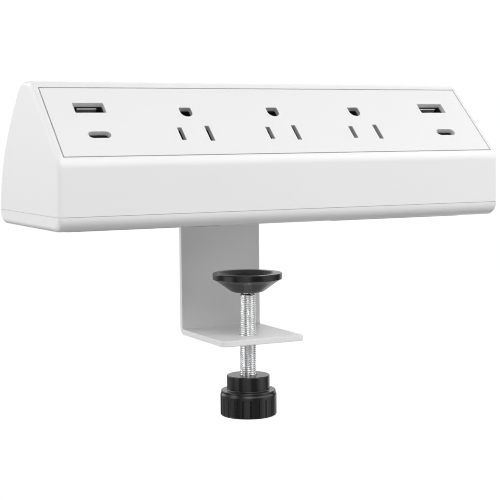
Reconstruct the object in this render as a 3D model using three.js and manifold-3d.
// Desk-clamp power strip: three receptacles and two USB columns on a sloping
// panel, a two-part plastic body, and a bent steel C-bracket whose threaded rod
// lifts a swivelling pad against the underside of a desk top.
// Units are millimetres, +X along the strip, +Y towards the back, +Z up.
// Origin: middle of the strip, on the desk surface, at the desk's edge face.
import * as THREE from 'three';
import { mergeVertices } from 'three/addons/utils/BufferGeometryUtils.js';
import Module from 'manifold-3d';

const wasm = await Module();
wasm.setup();

// ---------------------------------------------------------------- dimensions
// Panel coordinates: u along +X, v up the slope, n outward from the panel face.
const SLOPE_DEG = 43;                         // panel angle from horizontal
const SLOPE = THREE.MathUtils.degToRad(SLOPE_DEG);
const PANEL_Y = -73, PANEL_Z = 30.5;          // lower edge of the panel
const PANEL_W = 203, PANEL_H = 40.8;          // groove centre to groove centre
const GROOVE = 0.5;                           // groove width round the panel
const PLATE_T = 2.2;

const BODY_L = 208.9;                         // body length at the panel plane
const END_FLARE = 0.014;                      // end face draft, mm per mm below the panel
const FRONT_Y = -74.7, BACK_Y = 3.0;
const BASE_Z = 1.0, SEAM_Z = 7.0, BASE_R = 6.0;
const SEAM_GAP = 0.25;
const COVER_TOP = SEAM_Z - SEAM_GAP;
const FRONT_R = 7.0, RIDGE_R = 9.0, SHOULDER_R = 10.0, END_R = 2.0;
const RIDGE_OFFSET = 0.6;                     // panel's upper edge to the ridge arc
const RIDGE_FLAT = 4.3;                       // level top between ridge and shoulder
const BACK_PULL_TOP = 20, BACK_PULL_LOW = 19; // back curve's handle lengths
const WALL = 2.4;
const END_EXTRA = 0.2;                        // inner surfaces sit this much deeper at the ends

const OUTLET_PITCH = 41, BLADE_HALF = 6.35;   // BLADE_HALF: outlet centre to blade slot
const OUTLET_US = [-OUTLET_PITCH, 0, OUTLET_PITCH];
const SLOT_W = 2.1;
const LIVE_SLOT_V = [8.92, 16.4], NEUTRAL_SLOT_V = [8.2, 17.3];
const GROUND_R = 2.7, GROUND_V = [23.0, 28.6];
const USB_U = 83.1;
const USB_DROP = 0.55;                        // the right column sits lower by this
const USBA_HOLE = [13.3, 6.0], USBC_HOLE = [9.6, 3.8];
const usbColumn = (side, u, drop) => ({ side, u, typeAV: 28.5 - drop, typeCV: 12.5 - drop });
const USB_COLUMNS = [usbColumn('left', -USB_U, 0), usbColumn('right', USB_U, USB_DROP)];

// [x, y] of screws and board rests
const BASE_SCREWS = [[-98.3, -64], [98.3, -64], [-98.3, -9], [98.3, -9], [-32, -9], [32, -9]];
const BRACKET_SCREWS = [[-12, -14], [12, -14], [-12, -37], [12, -37]];
const BOARD_RESTS = [[-82, -46], [-30, -46], [-82, -17], [-30, -17]];

const FOOT = { innerX: 26, outerX: 97, frontY: -58, backY: -15 };
const FOOT_GAP = 0.3;

// The web's inner face is at y = 0; LOW_Z is the top face of the lower arm.
const BRACKET_W = 40.8, BRACKET_T = 2.5, BRACKET_TOP_Z = 1.0, BRACKET_LOW_Z = -52.2;
const LOW_ARM_Y = -44.4, TOP_ARM_Y = -46;     // free edges
const TOP_BEND_R = 0.8, LOW_BEND_R = 1.0;     // inner bend radii
const BRACKET_CORNER_R = 2.4;
const POCKET_TOP = BRACKET_TOP_Z + BRACKET_T + 0.15;

const ROD_X = -1.1, ROD_Y = -30, ROD_R = 3.65, ROD_HOLE_R = 3.8;
const ROD_LOW = -84, ROD_TOP = -33.2;
const PAD_R = 15.75, PAD_TOP = -23.9, PAD_RIM = -26.7, PAD_LOW = -32.5;
const KNOB_TOP = -70.5, KNOB_MID = -77.2, KNOB_LOW = -88.8;
const KNOB_NECK_R = 9.7, KNOB_R = 12.8;
const KNOB_GROOVES = 22, KNOB_PHASE = THREE.MathUtils.degToRad(3);

// ----------------------------------------------------------------- materials
const FINISHES = {
  shell: { color: 0xe9eaea, roughness: 0.42 },
  panel: { color: 0xeff0f0, roughness: 0.38 },
  base: { color: 0xe4e5e5, roughness: 0.45 },
  steel: { color: 0xd9dadb, roughness: 0.45, metalness: 0.1 },
  zinc: { color: 0xb9bcc0, roughness: 0.25, metalness: 1 },
  black: { color: 0x141416, roughness: 0.3 },
  rubber: { color: 0x2a2b2d, roughness: 0.8 },
  brass: { color: 0xc9a24b, roughness: 0.35, metalness: 1 },
  board: { color: 0x1f5a3a, roughness: 0.5 },
  nylon: { color: 0xe8e6df, roughness: 0.55 },
  insulator: { color: 0x1d1d1f, roughness: 0.6 },
  copper: { color: 0xb46a3c, roughness: 0.5, metalness: 0.4 },
  cord: { color: 0xe3e4e4, roughness: 0.5 },
  redWire: { color: 0x9a2320, roughness: 0.5 },
  blackWire: { color: 0x1a1a1a, roughness: 0.5 },
  greenWire: { color: 0x2b7a3d, roughness: 0.5 },
  ferrite: { color: 0x2b2b2e, roughness: 0.6 },
  capacitor: { color: 0x2f3b55, roughness: 0.4 },
  ceramic: { color: 0xd8d4c8, roughness: 0.3 },
};

// ------------------------------------------------------------------- helpers
const group = new THREE.Group();

function toSolid(source) {                    // three geometry -> manifold solid
  let geometry = source.index ? source.toNonIndexed() : source;
  geometry.deleteAttribute('normal');
  geometry.deleteAttribute('uv');
  geometry = mergeVertices(geometry, 1e-4);
  return new wasm.Manifold(new wasm.Mesh({
    numProp: 3,
    vertProperties: new Float32Array(geometry.attributes.position.array),
    triVerts: new Uint32Array(geometry.index.array),
  }));
}

function addPiece(name, solid, finish) {
  const { vertProperties, triVerts } = solid.getMesh();
  const geometry = new THREE.BufferGeometry();
  geometry.setAttribute('position', new THREE.BufferAttribute(vertProperties.slice(), 3));
  geometry.setIndex(new THREE.BufferAttribute(triVerts.slice(), 1));
  geometry.computeVertexNormals();
  const mesh = new THREE.Mesh(geometry, new THREE.MeshStandardMaterial(FINISHES[finish]));
  mesh.name = name;
  group.add(mesh);
}

// each pair of limits may come in either order
function box(x0, x1, y0, y1, z0, z1) {
  const size = [x1 - x0, y1 - y0, z1 - z0].map(Math.abs);
  const geometry = new THREE.BoxGeometry(...size);
  geometry.translate((x0 + x1) / 2, (y0 + y1) / 2, (z0 + z1) / 2);
  return toSolid(geometry);
}

const boxAround = (x, y, halfX, halfY, z0, z1) =>
  box(x - halfX, x + halfX, y - halfY, y + halfY, z0, z1);
const spaceAbove = (z) => box(-150, 150, -120, 60, z, 120);
const spaceBelow = (z) => box(-150, 150, -120, 60, -60, z);

function cylinderZ(radius, z0, z1, x, y, segments, topRadius = radius) {
  const geometry = new THREE.CylinderGeometry(topRadius, radius, z1 - z0, segments);
  geometry.rotateX(Math.PI / 2);
  geometry.translate(x, y, (z0 + z1) / 2);
  return toSolid(geometry);
}

function cylinderY(radius, y0, y1, endRadius = radius) {
  const geometry = new THREE.CylinderGeometry(endRadius, radius, y1 - y0, 16);
  geometry.translate(0, (y0 + y1) / 2, 0);
  return toSolid(geometry);
}

function lathe(points, segments, x, y) {      // points [radius, z]
  const outline = points.map(([radius, z]) => new THREE.Vector2(radius, z));
  const geometry = new THREE.LatheGeometry(outline, segments);
  geometry.rotateX(Math.PI / 2);
  geometry.translate(x, y, 0);
  return toSolid(geometry);
}

function tube(points, radius, segments, steps) {
  const section = [];
  for (let i = 0; i < segments; i++) {
    const angle = (i / segments) * Math.PI * 2;
    section.push(new THREE.Vector2(radius * Math.cos(angle), radius * Math.sin(angle)));
  }
  const shape = new THREE.Shape(section);
  shape.closePath();
  const path = new THREE.CatmullRomCurve3(
    points.map((point) => new THREE.Vector3(...point)), false, 'centripetal');
  return toSolid(new THREE.ExtrudeGeometry(
    shape, { steps, extrudePath: path, bevelEnabled: false }));
}

const extrude = (points, depth) => new THREE.ExtrudeGeometry(
  new THREE.Shape(points.map(([x, y]) => new THREE.Vector2(x, y))),
  { depth, bevelEnabled: false });

function prismX(points, x0, x1) {             // points [y, z]
  const geometry = extrude(points, x1 - x0);
  geometry.applyMatrix4(new THREE.Matrix4().set(
    0, 0, 1, x0,
    1, 0, 0, 0,
    0, 1, 0, 0,
    0, 0, 0, 1));
  return toSolid(geometry);
}

function prismZ(points, z0, z1) {             // points [x, y], or [u, v] on the panel
  const geometry = extrude(points, z1 - z0);
  geometry.translate(0, 0, z0);
  return toSolid(geometry);
}

const place = (solid, frame) => solid.transform(frame.toArray());
const pointIn = (frame, x, y, z) => new THREE.Vector3(x, y, z).applyMatrix4(frame).toArray();

const PANEL_FRAME = new THREE.Matrix4().makeRotationX(SLOPE).setPosition(0, PANEL_Y, PANEL_Z);
const onPanel = (solid) => place(solid, PANEL_FRAME);
const panelPoint = (u, v, n) => pointIn(PANEL_FRAME, u, v, n);

// --------------------------------------------------------------- body section
const SIN = Math.sin(SLOPE), COS = Math.cos(SLOPE);

// points [y, z, normal y, normal z], angles in degrees
function arc(centreY, centreZ, radius, startAngle, endAngle, steps) {
  const points = [];
  for (let i = 0; i <= steps; i++) {
    const angle = THREE.MathUtils.degToRad(startAngle + ((endAngle - startAngle) * i) / steps);
    const ny = Math.cos(angle), nz = Math.sin(angle);
    points.push([centreY + radius * ny, centreZ + radius * nz, ny, nz]);
  }
  return points;
}

// the front arc is tangent to the front wall and to the panel plane
const panelOffset = -SIN * PANEL_Y + COS * PANEL_Z;
const frontCentreY = FRONT_Y + FRONT_R;
const frontCentreZ = (panelOffset - FRONT_R + SIN * frontCentreY) / COS;
const ridgeV = PANEL_H + RIDGE_OFFSET;
const ridgeCentreY = PANEL_Y + COS * ridgeV + RIDGE_R * SIN;
const ridgeCentreZ = PANEL_Z + SIN * ridgeV - RIDGE_R * COS;
const shoulder = arc(ridgeCentreY + RIDGE_FLAT, ridgeCentreZ + RIDGE_R - SHOULDER_R,
  SHOULDER_R, 90, 90 - SLOPE_DEG, 3);
const [shoulderEndY, shoulderEndZ] = shoulder.at(-1);

const backCurve = new THREE.CubicBezierCurve(
  new THREE.Vector2(shoulderEndY, shoulderEndZ),
  new THREE.Vector2(shoulderEndY + BACK_PULL_TOP * COS, shoulderEndZ - BACK_PULL_TOP * SIN),
  new THREE.Vector2(BACK_Y, SEAM_Z + BACK_PULL_LOW),
  new THREE.Vector2(BACK_Y, SEAM_Z));
const back = [];
for (let i = 1; i <= 8; i++) {
  const point = backCurve.getPoint(i / 8), tangent = backCurve.getTangent(i / 8);
  back.push([point.x, point.y, -tangent.y, tangent.x]);
}

// listed clockwise seen from +X, then reversed to run anticlockwise
const bodyProfile = [
  ...arc(FRONT_Y + BASE_R, BASE_Z + BASE_R, BASE_R, 270, 180, 4),
  ...arc(frontCentreY, frontCentreZ, FRONT_R, 180, 90 + SLOPE_DEG, 4),
  ...arc(ridgeCentreY, ridgeCentreZ, RIDGE_R, 90 + SLOPE_DEG, 90, 4),
  ...shoulder,
  ...back,
  ...arc(BACK_Y - BASE_R, BASE_Z + BASE_R, BASE_R, 0, -90, 4).slice(1),
].reverse();

// Loft of the inset section along X; roundSteps > 0 rounds the end edges.
function loftBody(inset, endInset, roundSteps = 0) {
  const stations = [];                        // [extra inset, distance in from the end]
  for (let i = 0; i < roundSteps; i++) {
    const angle = (Math.PI / 2) * (i / roundSteps);
    stations.push([END_R * (1 - Math.sin(angle)), END_R * (1 - Math.cos(angle))]);
  }
  stations.push([0, roundSteps ? END_R : 0]);

  const ring = (extra, distance, side) => bodyProfile.map(([y, z, ny, nz]) => {
    const ringY = y - (inset + extra) * ny, ringZ = z - (inset + extra) * nz;
    const depth = SIN * (ringY - PANEL_Y) - COS * (ringZ - PANEL_Z);
    return [side * (BODY_L / 2 + END_FLARE * depth - endInset - distance), ringY, ringZ];
  });
  const rings = [
    ...stations.map(([extra, distance]) => ring(extra, distance, -1)),
    ...stations.toReversed().map(([extra, distance]) => ring(extra, distance, 1)),
  ];

  const count = bodyProfile.length, index = [];
  for (let k = 0; k + 1 < rings.length; k++) {
    for (let i = 0; i < count; i++) {
      const here = k * count + i, next = k * count + ((i + 1) % count);
      index.push(here, next, here + count, next, next + count, here + count);
    }
  }
  // both end rings have the same (y, z) outline, so one triangulation caps both
  const outline = rings[0].map(([, y, z]) => new THREE.Vector2(y, z));
  const last = (rings.length - 1) * count;
  for (const [a, b, c] of THREE.ShapeUtils.triangulateShape(outline, [])) {
    index.push(a, c, b, last + a, last + b, last + c);
  }
  const geometry = new THREE.BufferGeometry();
  geometry.setAttribute('position', new THREE.Float32BufferAttribute(rings.flat(2), 3));
  geometry.setIndex(index);
  return toSolid(geometry);
}

const insetBody = (inset) => loftBody(inset, inset + END_EXTRA);
const outerBody = loftBody(0, 0, 2);
const innerBody = insetBody(WALL);

// ---------------------------------------------------------------- cord outlet
const CORD_X = 78, CORD_Z = 17;

// frame on the back wall: local +y leaves the wall square to it
function backWallFrame(x, height) {
  let high = 0, low = 1;                      // curve parameters bracketing the height
  for (let i = 0; i < 40; i++) {
    const middle = (high + low) / 2;
    if (backCurve.getPoint(middle).y > height) high = middle;
    else low = middle;
  }
  const point = backCurve.getPoint(high), tangent = backCurve.getTangent(high);
  return new THREE.Matrix4()
    .makeRotationX(Math.atan2(tangent.x, -tangent.y))
    .setPosition(x, point.x, point.y);
}
const CORD_FRAME = backWallFrame(CORD_X, CORD_Z);
const cordPoint = (distance) => pointIn(CORD_FRAME, 0, distance, 0).with(0, CORD_X);

// ----------------------------------------------------------------- body parts
function upperShell() {
  const panelSkin = 4.6;                      // thickness under the panel plane
  const halfW = (PANEL_W + GROOVE) / 2;
  const upperBody = outerBody.intersect(spaceAbove(SEAM_Z));
  let shell = upperBody.subtract(
    innerBody.subtract(onPanel(box(-150, 150, -30, 60, -panelSkin, 30))));
  for (const [x, y] of BASE_SCREWS) {         // screw posts, kept within the outer skin
    shell = shell.add(cylinderZ(3.6, SEAM_Z, 34, x, y, 10).intersect(upperBody));
  }
  for (const [x, y] of BASE_SCREWS) {
    shell = shell.subtract(cylinderZ(1.5, SEAM_Z - 1, 19, x, y, 8));
  }
  const openings = [
    box(-halfW, halfW, -GROOVE / 2, PANEL_H + GROOVE / 2, -PLATE_T - 0.1, 20), // plate recess
    box(-62.5, 62.5, 2.2, 35.5, -12, 1),                                       // receptacles
    ...USB_COLUMNS.map(({ u }) => box(u - 11, u + 11, 4.4, 36.6, -12, 1)),
  ];
  for (const opening of openings) shell = shell.subtract(onPanel(opening));
  return shell.subtract(place(cylinderY(6.1, -12, 12), CORD_FRAME));
}

// slot outline with semicircular ends
function roundSlot([width, height], u, v) {
  const radius = height / 2, steps = 6, points = [];
  for (const side of [1, -1]) {
    for (let i = 0; i <= steps; i++) {
      const angle = -side * Math.PI / 2 + (Math.PI * i) / steps;
      points.push([u + side * (width / 2 - radius) + radius * Math.cos(angle),
        v + radius * Math.sin(angle)]);
    }
  }
  return points;
}

// ground hole outline: half-round below, chamfered corners above
function groundHole(u, grow = 0) {
  const radius = GROUND_R + grow, centreV = GROUND_V[0] + GROUND_R;
  const top = GROUND_V[1] + grow, chamfer = 0.5, points = [];
  for (let i = 0; i <= 10; i++) {
    const angle = Math.PI + (Math.PI * i) / 10;
    points.push([u + radius * Math.cos(angle), centreV + radius * Math.sin(angle)]);
  }
  points.push([u + radius, top - chamfer], [u + radius - chamfer, top],
    [u - radius + chamfer, top], [u - radius, top - chamfer]);
  return points;
}

// [u, v range] of an outlet's two blade slots
const bladeSlots = (u) => [[u - BLADE_HALF, LIVE_SLOT_V], [u + BLADE_HALF, NEUTRAL_SLOT_V]];

function facePlate() {
  const halfW = (PANEL_W - GROOVE) / 2;
  let plate = box(-halfW, halfW, GROOVE / 2, PANEL_H - GROOVE / 2, -PLATE_T, 0);
  for (const outletU of OUTLET_US) {
    for (const [u, [low, high]] of bladeSlots(outletU)) {
      plate = plate.subtract(box(u - SLOT_W / 2, u + SLOT_W / 2, low, high, -5, 5));
    }
    plate = plate.subtract(prismZ(groundHole(outletU), -5, 5));
  }
  for (const { u, typeAV, typeCV } of USB_COLUMNS) {
    plate = plate
      .subtract(boxAround(u, typeAV, USBA_HOLE[0] / 2, USBA_HOLE[1] / 2, -5, 5))
      .subtract(prismZ(roundSlot(USBC_HOLE, u, typeCV), -5, 5));
  }
  return onPanel(plate);
}

function baseCover() {
  let cover = outerBody.intersect(spaceBelow(COVER_TOP)).subtract(innerBody);
  // liner whose rim stands up inside the upper shell, notched for posts and cord
  let liner = insetBody(WALL + 0.25).subtract(insetBody(WALL + 1.5))
    .intersect(spaceBelow(SEAM_Z + 2));
  for (const [x, y] of BASE_SCREWS) {
    liner = liner.subtract(boxAround(x, y, 4.3, 4.3, COVER_TOP, 20));
  }
  cover = cover.add(liner.subtract(box(CORD_X - 10, CORD_X + 10, -15, 10, COVER_TOP, 20)));
  cover = cover.add(box(-23, 23, -50, 0, BASE_Z, 6.6));   // block over the bracket
  for (const [x, y] of BASE_SCREWS) {
    cover = cover.add(cylinderZ(4.6, BASE_Z, COVER_TOP, x, y, 10));
  }
  for (const [x, y] of BASE_SCREWS) {
    cover = cover.subtract(cylinderZ(3.2, -2, 3.6, x, y, 12))
      .subtract(cylinderZ(1.7, 0, 9, x, y, 8));
  }
  for (const side of [-1, 1]) cover = cover.subtract(footBox(side, 0, -2, 2.1));
  for (const [x, y] of BOARD_RESTS) {
    cover = cover.add(cylinderZ(2.4, BASE_Z + WALL - 0.5, 10, x, y, 6));
  }
  const pocketHalfW = BRACKET_W / 2 + 0.3;
  cover = cover.subtract(
    box(-pocketHalfW, pocketHalfW, TOP_ARM_Y - 0.3, 20, -10, POCKET_TOP));
  for (const [x, y] of BRACKET_SCREWS) {
    cover = cover.add(cylinderZ(3.6, POCKET_TOP, 12, x, y, 8));
  }
  for (const [x, y] of BRACKET_SCREWS) cover = cover.subtract(cylinderZ(1.75, 1, 11, x, y, 8));
  return cover;
}

function footBox(side, gap, z0, z1) {
  return box(side * (FOOT.innerX + gap), side * (FOOT.outerX - gap),
    FOOT.frontY + gap, FOOT.backY - gap, z0, z1);
}

const baseScrew = (x, y) => lathe([[0, 1.4], [2.5, 1.4], [2.8, 2.0], [2.8, 3.5],
  [1.35, 3.5], [1.35, 16], [0, 17.5]], 10, x, y);

addPiece('upper_shell', upperShell(), 'shell');
addPiece('face_plate', facePlate(), 'panel');
addPiece('base_cover', baseCover(), 'base');
addPiece('foot_pad_left', footBox(-1, FOOT_GAP, 0, 2.05), 'rubber');
addPiece('foot_pad_right', footBox(1, FOOT_GAP, 0, 2.05), 'rubber');
BASE_SCREWS.forEach(([x, y], i) => addPiece(`base_screw_${i + 1}`, baseScrew(x, y), 'zinc'));

// -------------------------------------------------------------- clamp bracket
function clampBracket() {
  const topZ = BRACKET_TOP_Z, lowZ = BRACKET_LOW_Z, thick = BRACKET_T, halfW = BRACKET_W / 2;
  const topBend = (radius, from, to) =>
    arc(-TOP_BEND_R, topZ - TOP_BEND_R, radius, from, to, 4);
  const lowBend = (radius, from, to) =>
    arc(-LOW_BEND_R, lowZ + LOW_BEND_R, radius, from, to, 6);
  let bracket = prismX([
    [TOP_ARM_Y, topZ], ...topBend(TOP_BEND_R, 90, 0),
    ...lowBend(LOW_BEND_R, 0, -90), [LOW_ARM_Y, lowZ],
    [LOW_ARM_Y, lowZ - thick], ...lowBend(LOW_BEND_R + thick, -90, 0),
    ...topBend(TOP_BEND_R + thick, 0, 90), [TOP_ARM_Y, topZ + thick],
  ], -halfW, halfW);
  // rounded corners on both free edges
  for (const [edgeY, armZ] of [[LOW_ARM_Y, lowZ - thick], [TOP_ARM_Y, topZ]]) {
    for (const side of [-1, 1]) {
      const x = side * (halfW - BRACKET_CORNER_R), y = edgeY + BRACKET_CORNER_R;
      const bottom = armZ - 1, top = armZ + thick + 1;
      bracket = bracket.subtract(box(x, side * (halfW + 1), edgeY - 1, y, bottom, top)
        .subtract(cylinderZ(BRACKET_CORNER_R, bottom - 1, top + 1, x, y, 16)));
    }
  }
  bracket = bracket.subtract(cylinderZ(ROD_HOLE_R, lowZ - 10, lowZ + 5, ROD_X, ROD_Y, 20));
  for (const [x, y] of BRACKET_SCREWS) {      // countersink and through hole
    bracket = bracket.subtract(cylinderZ(4.0, topZ - 0.2, topZ + 2.1, x, y, 12, 1.9))
      .subtract(cylinderZ(2.1, topZ - 1, topZ + thick + 1, x, y, 12));
  }
  return bracket;
}

const bracketScrew = (x, y) => lathe([[0, 1.05], [3.5, 1.05], [1.5, 2.95],
  [1.5, 8.6], [0, 10]], 10, x, y);

addPiece('clamp_bracket', clampBracket(), 'steel');
BRACKET_SCREWS.forEach(([x, y], i) =>
  addPiece(`bracket_screw_${i + 1}`, bracketScrew(x, y), 'zinc'));

// --------------------------------------------------------------- screw clamp
// plain rod with chamfered ends, and a thin neck and head that hold the pad
function clampRod() {
  return lathe([
    [0, ROD_LOW], [ROD_R - 0.6, ROD_LOW], [ROD_R, ROD_LOW + 0.6],
    [ROD_R, ROD_TOP - 0.6], [ROD_R - 0.6, ROD_TOP],
    [2.2, ROD_TOP], [2.2, -28.3], [3.8, -28.3], [3.8, -27.6], [2.6, -26.9], [0, -26.7],
  ], 20, ROD_X, ROD_Y);
}

function clampKnob() {
  let knob = lathe([
    [0, KNOB_LOW], [KNOB_R - 0.45, KNOB_LOW], [KNOB_R, KNOB_LOW + 0.45],
    [KNOB_R, -79.3], [KNOB_R - 0.42, -78.3], [KNOB_R - 0.42, KNOB_MID - 0.35],
    [KNOB_R - 0.77, KNOB_MID], [KNOB_NECK_R, KNOB_MID], [KNOB_NECK_R, KNOB_TOP - 0.4],
    [KNOB_NECK_R - 0.4, KNOB_TOP], [0, KNOB_TOP],
  ], 40, ROD_X, ROD_Y);
  knob = knob.subtract(
    cylinderZ(ROD_R + 0.1, ROD_LOW - 0.3, KNOB_TOP + 1, ROD_X, ROD_Y, 20));
  const grooveCircleR = KNOB_R + 0.2;
  for (let i = 0; i < KNOB_GROOVES; i++) {
    const angle = KNOB_PHASE + (i / KNOB_GROOVES) * Math.PI * 2;
    knob = knob.subtract(cylinderZ(0.65, KNOB_LOW - 1, -80.5,
      ROD_X + grooveCircleR * Math.cos(angle), ROD_Y + grooveCircleR * Math.sin(angle), 4));
  }
  return knob;
}

// dished pad: flat outer lip, conical underside, central well with a hole
function clampPad() {
  return lathe([
    [0, PAD_LOW], [6.8, PAD_LOW], [8.2, -31.8], [13.2, -28.05], [14.9, -27.05],
    [PAD_R, PAD_RIM], [PAD_R, PAD_TOP - 0.4], [PAD_R - 0.4, PAD_TOP], [12.9, PAD_TOP],
    [11.6, -24.4], [9.4, -25.5], [6.7, -28.6], [6.3, -29.7], [0, -29.7],
  ], 32, ROD_X, ROD_Y).subtract(cylinderZ(3.0, PAD_LOW - 1, -20, ROD_X, ROD_Y, 16));
}

const padWasher = () => lathe([[2.5, -28.9], [5.1, -28.9], [5.1, -28.4], [2.5, -28.4],
  [2.5, -28.9]], 16, ROD_X, ROD_Y);

addPiece('clamp_rod', clampRod(), 'zinc');
addPiece('clamp_knob', clampKnob(), 'black');
addPiece('clamp_pad', clampPad(), 'black');
addPiece('pad_washer', padWasher(), 'zinc');

// ------------------------------------------------------- receptacle internals
const SOCKET_AREA = [-61.5, 61.5, 3, 34];     // u range, v range
const CHANNELS_V = [[3.8, 7.6], [18.2, 21.6], [29.3, 32.6]];  // live, neutral, ground
const CHANNEL_N = -14.4;                      // busbar channels are open below this
const BUS_LOW = -16, BUS_TOP = -15.2, BUS_MID = -15.6;
const CLIP_T = 0.6;

function socketInsulator() {
  let block = box(...SOCKET_AREA, -17, -PLATE_T - 0.15);
  const cut = (...limits) => {
    block = block.subtract(box(...limits));
  };
  for (const outletU of OUTLET_US) {
    const liveU = outletU - BLADE_HALF, neutralU = outletU + BLADE_HALF;
    for (const [u, [low, high]] of bladeSlots(outletU)) {
      cut(u - SLOT_W / 2 - 0.1, u + SLOT_W / 2 + 0.1, low - 0.1, high + 0.1, -6, 0);
      cut(u - 2.4, u + 2.4, 8.0, 17.8, -18, -3.8);
    }
    block = block.subtract(prismZ(groundHole(outletU, 0.1), -6, 0));
    cut(outletU - 3.6, outletU + 3.6, 22.6, 29.1, -18, -3.8);
    // passages joining the clip chambers to the channels
    cut(liveU - 2.4, liveU + 2.4, 7.0, 9.0, -18, CHANNEL_N);
    cut(neutralU - 2.4, neutralU + 2.4, 17.0, 18.8, -18, CHANNEL_N);
    cut(outletU - 3.6, outletU + 3.6, 28.5, 30, -18, CHANNEL_N);
  }
  for (const [low, high] of CHANNELS_V) cut(-80, 80, low, high, -18, CHANNEL_N);
  return onPanel(block);
}

// strip from v0 to v1 with a two-leaf clip per outlet, halfGap each side of its centre
function busbar([v0, v1], outletShift, [clipLow, clipHigh], halfGap) {
  let bar = box(-66, 66, v0, v1, BUS_LOW, BUS_TOP);
  for (const outletU of OUTLET_US) {
    const u = outletU + outletShift, reach = halfGap + CLIP_T;
    bar = bar.add(box(u - reach, u + reach,
      Math.min(clipLow, v0 + 0.5), Math.max(clipHigh, v1 - 0.5), BUS_LOW, BUS_TOP));
    for (const side of [-1, 1]) {
      bar = bar.add(
        box(u + side * halfGap, u + side * reach, clipLow, clipHigh, BUS_MID, -4.6));
    }
  }
  return onPanel(bar);
}

addPiece('socket_insulator', socketInsulator(), 'insulator');
addPiece('socket_insulator_cover', onPanel(box(...SOCKET_AREA, -18.8, -17.15)), 'insulator');
addPiece('live_busbar', busbar([4.3, 7.1], -BLADE_HALF, [9.2, 16.6], 0.9), 'brass');
addPiece('neutral_busbar', busbar([18.6, 21.2], BLADE_HALF, [9.2, 16.8], 0.9), 'brass');
addPiece('ground_busbar', busbar([29.7, 32.2], 0, [23.6, 28.2], 2.3), 'brass');

// ---------------------------------------------------------------- USB modules
const PORT_LOW = -14, PORT_FLOOR = -13.4, PORT_TOP = -2.3, TONGUE_LOW = -13.3;

for (const { side, u, typeAV, typeCV } of USB_COLUMNS) {
  const shellA = boxAround(u, typeAV, 6.5, 2.85, PORT_LOW, PORT_TOP)
    .subtract(boxAround(u, typeAV, 6.15, 2.5, PORT_FLOOR, 2));
  const tongueA = box(u - 4.2, u + 4.2, typeAV + 1.55, typeAV + 2.45, TONGUE_LOW, -2.6);
  const shellC = prismZ(roundSlot([9.0, 3.2], u, typeCV), PORT_LOW, PORT_TOP)
    .subtract(prismZ(roundSlot([8.35, 2.55], u, typeCV), PORT_FLOOR, 2));
  const tongueC = boxAround(u, typeCV, 3.35, 0.35, TONGUE_LOW, -3.4);
  addPiece(`usb_board_${side}`, onPanel(box(u - 10.5, u + 10.5, 5, 36, -15.6, -14.1)), 'board');
  addPiece(`usb_a_shell_${side}`, onPanel(shellA), 'black');
  addPiece(`usb_a_tongue_${side}`, onPanel(tongueA), 'nylon');
  addPiece(`usb_c_shell_${side}`, onPanel(shellC), 'black');
  addPiece(`usb_c_tongue_${side}`, onPanel(tongueC), 'insulator');
}

// --------------------------------------------------------------- power supply
const PARTS_Z = 11.65;                        // underside of the parts on the board

function transformer() {                      // three overlapping blocks
  return box(-62, -43, -34, -17, PARTS_Z, 15)
    .add(box(-58.5, -46.5, -34, -17, PARTS_Z, 27))
    .add(box(-62, -43, -31, -20, 14, 23.5));
}

function fuse() {                             // cylinder lying along X
  const frame = new THREE.Matrix4().makeRotationY(Math.PI / 2).setPosition(-53, -43, 14.6);
  return place(cylinderZ(2.6, -8, 8, 0, 0, 12), frame);
}

addPiece('power_board', box(-86, -26, -50, -13.5, 10.05, 11.6), 'board');
addPiece('transformer', transformer(), 'ferrite');
addPiece('input_capacitor', cylinderZ(5.2, PARTS_Z, 27, -74, -21, 20), 'capacitor');
addPiece('output_capacitor', cylinderZ(4, PARTS_Z, 23, -34.5, -24, 16), 'capacitor');
addPiece('line_choke', box(-82, -69, -45, -34, PARTS_Z, 20.5), 'copper');
addPiece('fuse', fuse(), 'ceramic');

// -------------------------------------------------------------- cord and wires
const WIRE_U = 66.4;                          // wires meet the busbars at u = +-WIRE_U

function cordBoot() {                         // flanges inside and outside the wall
  const boot = cylinderY(7.6, -5.6, -3.2)
    .add(cylinderY(5.8, -3.6, 1.5))
    .add(cylinderY(7.6, 1.0, 3.2))
    .add(cylinderY(6.2, 3.0, 27, 4.9));
  return place(boot.subtract(cylinderY(4.1, -10, 40)), CORD_FRAME);
}

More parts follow.
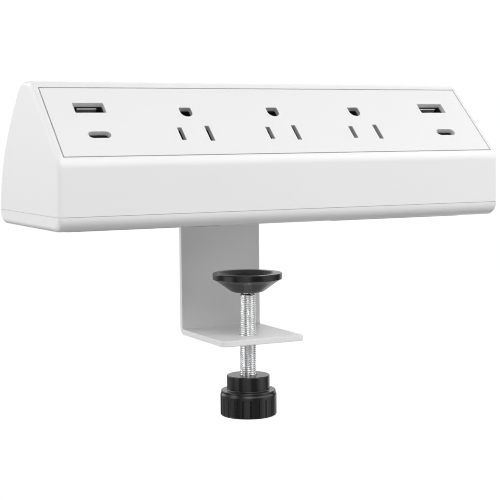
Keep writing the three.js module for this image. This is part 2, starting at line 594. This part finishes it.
function powerCord() {
  const [, y, z] = cordPoint(30);
  return tube([...[-16, -6, 8, 22, 30].map(cordPoint),
    [CORD_X, y + 11, z + 0.4], [CORD_X, y + 22, z - 3.0]], 3.7, 12, 14);
}

// from the cord's inner end, shifted by dx and dz, to a busbar's right end at v
function cordWire(dx, dz, v) {
  const [, y, z] = cordPoint(-17.8);
  const [endX, endY, endZ] = panelPoint(WIRE_U, v, BUS_MID);
  return tube([
    [CORD_X + dx, y, z + dz],
    [CORD_X + dx - 1, y - 9, z + dz + 1],
    [72 + dx * 0.4, (y + endY) / 2 - 3, (z + endZ) / 2 - 2 + dz],
    [endX + 3.4, endY + 0.6, endZ - 0.4],
    [endX, endY, endZ],
  ], 1.05, 6, 14);
}

// from a busbar's left end at v, by a first step of (-3, dy, dz), along the route
function feedWire(v, dy, dz, route) {
  const [x, y, z] = panelPoint(-WIRE_U, v, BUS_MID);
  return tube([[x, y, z], [x - 3, y + dy, z + dz], ...route], 1.0, 6, 14);
}

// from the power board along the route to the back of a USB board
function usbCable(u, steps, route) {
  const [x, y, z] = panelPoint(u, 20, -15.7);
  return tube([...route, [x, y + 4, z - 3.6], [x, y, z]], 1.3, 6, steps);
}

addPiece('cord_boot', cordBoot(), 'cord');
addPiece('power_cord', powerCord(), 'cord');
addPiece('wire_live', cordWire(-1.7, -1.3, 5.7), 'blackWire');
addPiece('wire_neutral', cordWire(1.9, -0.9, 19.9), 'nylon');
addPiece('wire_ground', cordWire(0, 1.9, 31), 'greenWire');
addPiece('feed_live', feedWire(5.7, 1, -1.5,
  [[-78, -53.5, 19], [-83.6, -47.4, 17], [-84, -47, 12.2]]), 'blackWire');
addPiece('feed_neutral', feedWire(19.9, 2, -2,
  [[-66.5, -38, 26], [-65.5, -30.4, 18], [-65.5, -30, 12.2]]), 'nylon');
addPiece('usb_cable_left', usbCable(-USB_U, 14,
  [[-83, -17, 12.2], [-83, -17.2, 17], [-84, -26, 27]]), 'redWire');
addPiece('usb_cable_right', usbCable(USB_U, 26,
  [[-29.4, -18.5, 12.2], [-29.2, -18.3, 20], [-18, -17, 27], [10, -17, 29],
    [55, -20, 32], [78, -34, 31]]), 'redWire');

export default group;
